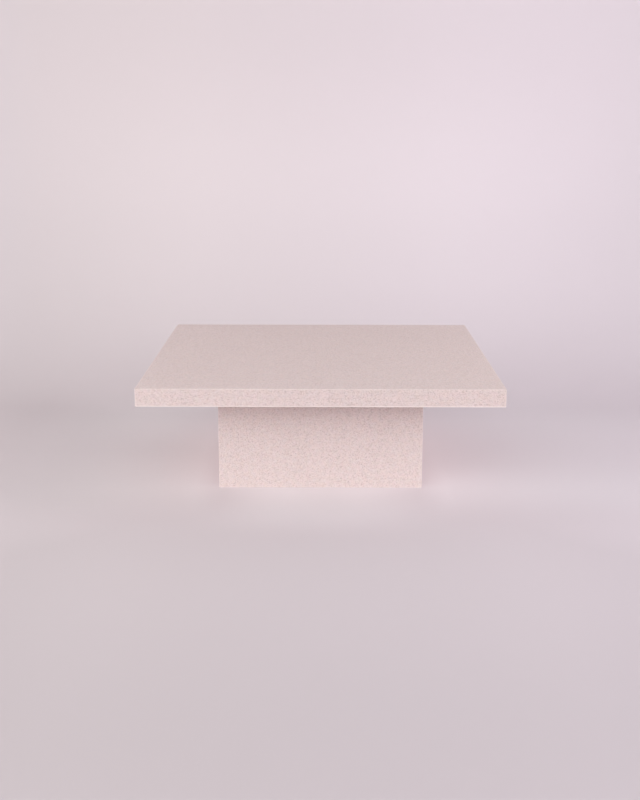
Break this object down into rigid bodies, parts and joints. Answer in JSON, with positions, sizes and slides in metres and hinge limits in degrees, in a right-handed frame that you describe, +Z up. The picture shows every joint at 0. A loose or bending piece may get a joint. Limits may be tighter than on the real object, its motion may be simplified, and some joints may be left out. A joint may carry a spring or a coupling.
{
  "type": "low display table",
  "caption": "Low display table: a wide square slab with square eased edges, finished in fine pale pink speckle, on a narrower square plinth with hidden levelling feet.",
  "frame": {"origin": "on the floor, under the centre of the slab", "axes": "+Z up, +X along the front edge to the viewer's right, +Y from the front to the back; the front faces -Y"},
  "size_m": [0.9, 0.9, 0.308],
  "materials": {
    "speckled_sheet": "matte cast sheet, pale pink with fine cream, mauve and brown specks",
    "balancer": "painted board to match the sheet",
    "plywood": "sanded birch plywood",
    "zinc_steel": "bright zinc plate",
    "nylon": "moulded black nylon"
  },
  "bodies": {
    "table": {"top_panel": "speckled_sheet", "top_edge_front": "speckled_sheet", "top_edge_right": "speckled_sheet", "top_edge_back": "speckled_sheet", "top_edge_left": "speckled_sheet", "plinth_panel_front": "speckled_sheet", "plinth_panel_right": "speckled_sheet", "plinth_panel_back": "speckled_sheet", "plinth_panel_left": "speckled_sheet", "soffit_panel": "balancer", "core_edge_rail_front": "plywood", "core_edge_rail_right": "plywood", "core_edge_rail_back": "plywood", "core_edge_rail_left": "plywood", "core_cross_rail_front": "plywood", "core_cross_rail_right": "plywood", "core_cross_rail_back": "plywood", "core_cross_rail_left": "plywood", "fixing_block_front_left": "plywood", "fixing_block_front_right": "plywood", "fixing_block_back_right": "plywood", "fixing_block_back_left": "plywood", "carcass_front": "plywood", "carcass_right": "plywood", "carcass_back": "plywood", "carcass_left": "plywood", "plinth_top_plate": "plywood", "bottom_rail_front": "plywood", "bottom_rail_right": "plywood", "bottom_rail_back": "plywood", "bottom_rail_left": "plywood", "corner_block_front_left": "plywood", "corner_block_front_right": "plywood", "corner_block_back_right": "plywood", "corner_block_back_left": "plywood", "threaded_insert_front_left": "zinc_steel", "threaded_insert_front_right": "zinc_steel", "threaded_insert_back_right": "zinc_steel", "threaded_insert_back_left": "zinc_steel", "slab_bolt_front_left": "zinc_steel", "slab_bolt_front_right": "zinc_steel", "slab_bolt_back_right": "zinc_steel", "slab_bolt_back_left": "zinc_steel", "foot_nut_front_left": "zinc_steel", "foot_nut_front_right": "zinc_steel", "foot_nut_back_right": "zinc_steel", "foot_nut_back_left": "zinc_steel"},
    "pad_front_left": {"foot_pad_front_left": "nylon"},
    "stem_front_left": {"foot_stem_front_left": "zinc_steel"},
    "pad_front_right": {"foot_pad_front_right": "nylon"},
    "stem_front_right": {"foot_stem_front_right": "zinc_steel"},
    "pad_back_right": {"foot_pad_back_right": "nylon"},
    "stem_back_right": {"foot_stem_back_right": "zinc_steel"},
    "pad_back_left": {"foot_pad_back_left": "nylon"},
    "stem_back_left": {"foot_stem_back_left": "zinc_steel"}
  },
  "joints": [
    {"name": "foot_lift_front_left", "type": "slide", "parent": "table", "child": "pad_front_left", "axis": [0, 0, -1], "range_m": [-0.003, 0.012]},
    {"name": "foot_turn_front_left", "type": "hinge", "parent": "pad_front_left", "child": "stem_front_left", "pos_m": [-0.2124, -0.2124, 0.0078], "axis": [0, 0, -1], "range_deg": [-720, 2880]},
    {"name": "foot_lift_front_right", "type": "slide", "parent": "table", "child": "pad_front_right", "axis": [0, 0, -1], "range_m": [-0.003, 0.012]},
    {"name": "foot_turn_front_right", "type": "hinge", "parent": "pad_front_right", "child": "stem_front_right", "pos_m": [0.2124, -0.2124, 0.0078], "axis": [0, 0, -1], "range_deg": [-720, 2880]},
    {"name": "foot_lift_back_right", "type": "slide", "parent": "table", "child": "pad_back_right", "axis": [0, 0, -1], "range_m": [-0.003, 0.012]},
    {"name": "foot_turn_back_right", "type": "hinge", "parent": "pad_back_right", "child": "stem_back_right", "pos_m": [0.2124, 0.2124, 0.0078], "axis": [0, 0, -1], "range_deg": [-720, 2880]},
    {"name": "foot_lift_back_left", "type": "slide", "parent": "table", "child": "pad_back_left", "axis": [0, 0, -1], "range_m": [-0.003, 0.012]},
    {"name": "foot_turn_back_left", "type": "hinge", "parent": "pad_back_left", "child": "stem_back_left", "pos_m": [-0.2124, 0.2124, 0.0078], "axis": [0, 0, -1], "range_deg": [-720, 2880]}
  ],
  "couplings": [
    {"joint": "foot_turn_front_left", "follows": "foot_lift_front_left", "rad_per_m": 4188.8},
    {"joint": "foot_turn_front_right", "follows": "foot_lift_front_right", "rad_per_m": 4188.8},
    {"joint": "foot_turn_back_right", "follows": "foot_lift_back_right", "rad_per_m": 4188.8},
    {"joint": "foot_turn_back_left", "follows": "foot_lift_back_left", "rad_per_m": 4188.8}
  ]
}
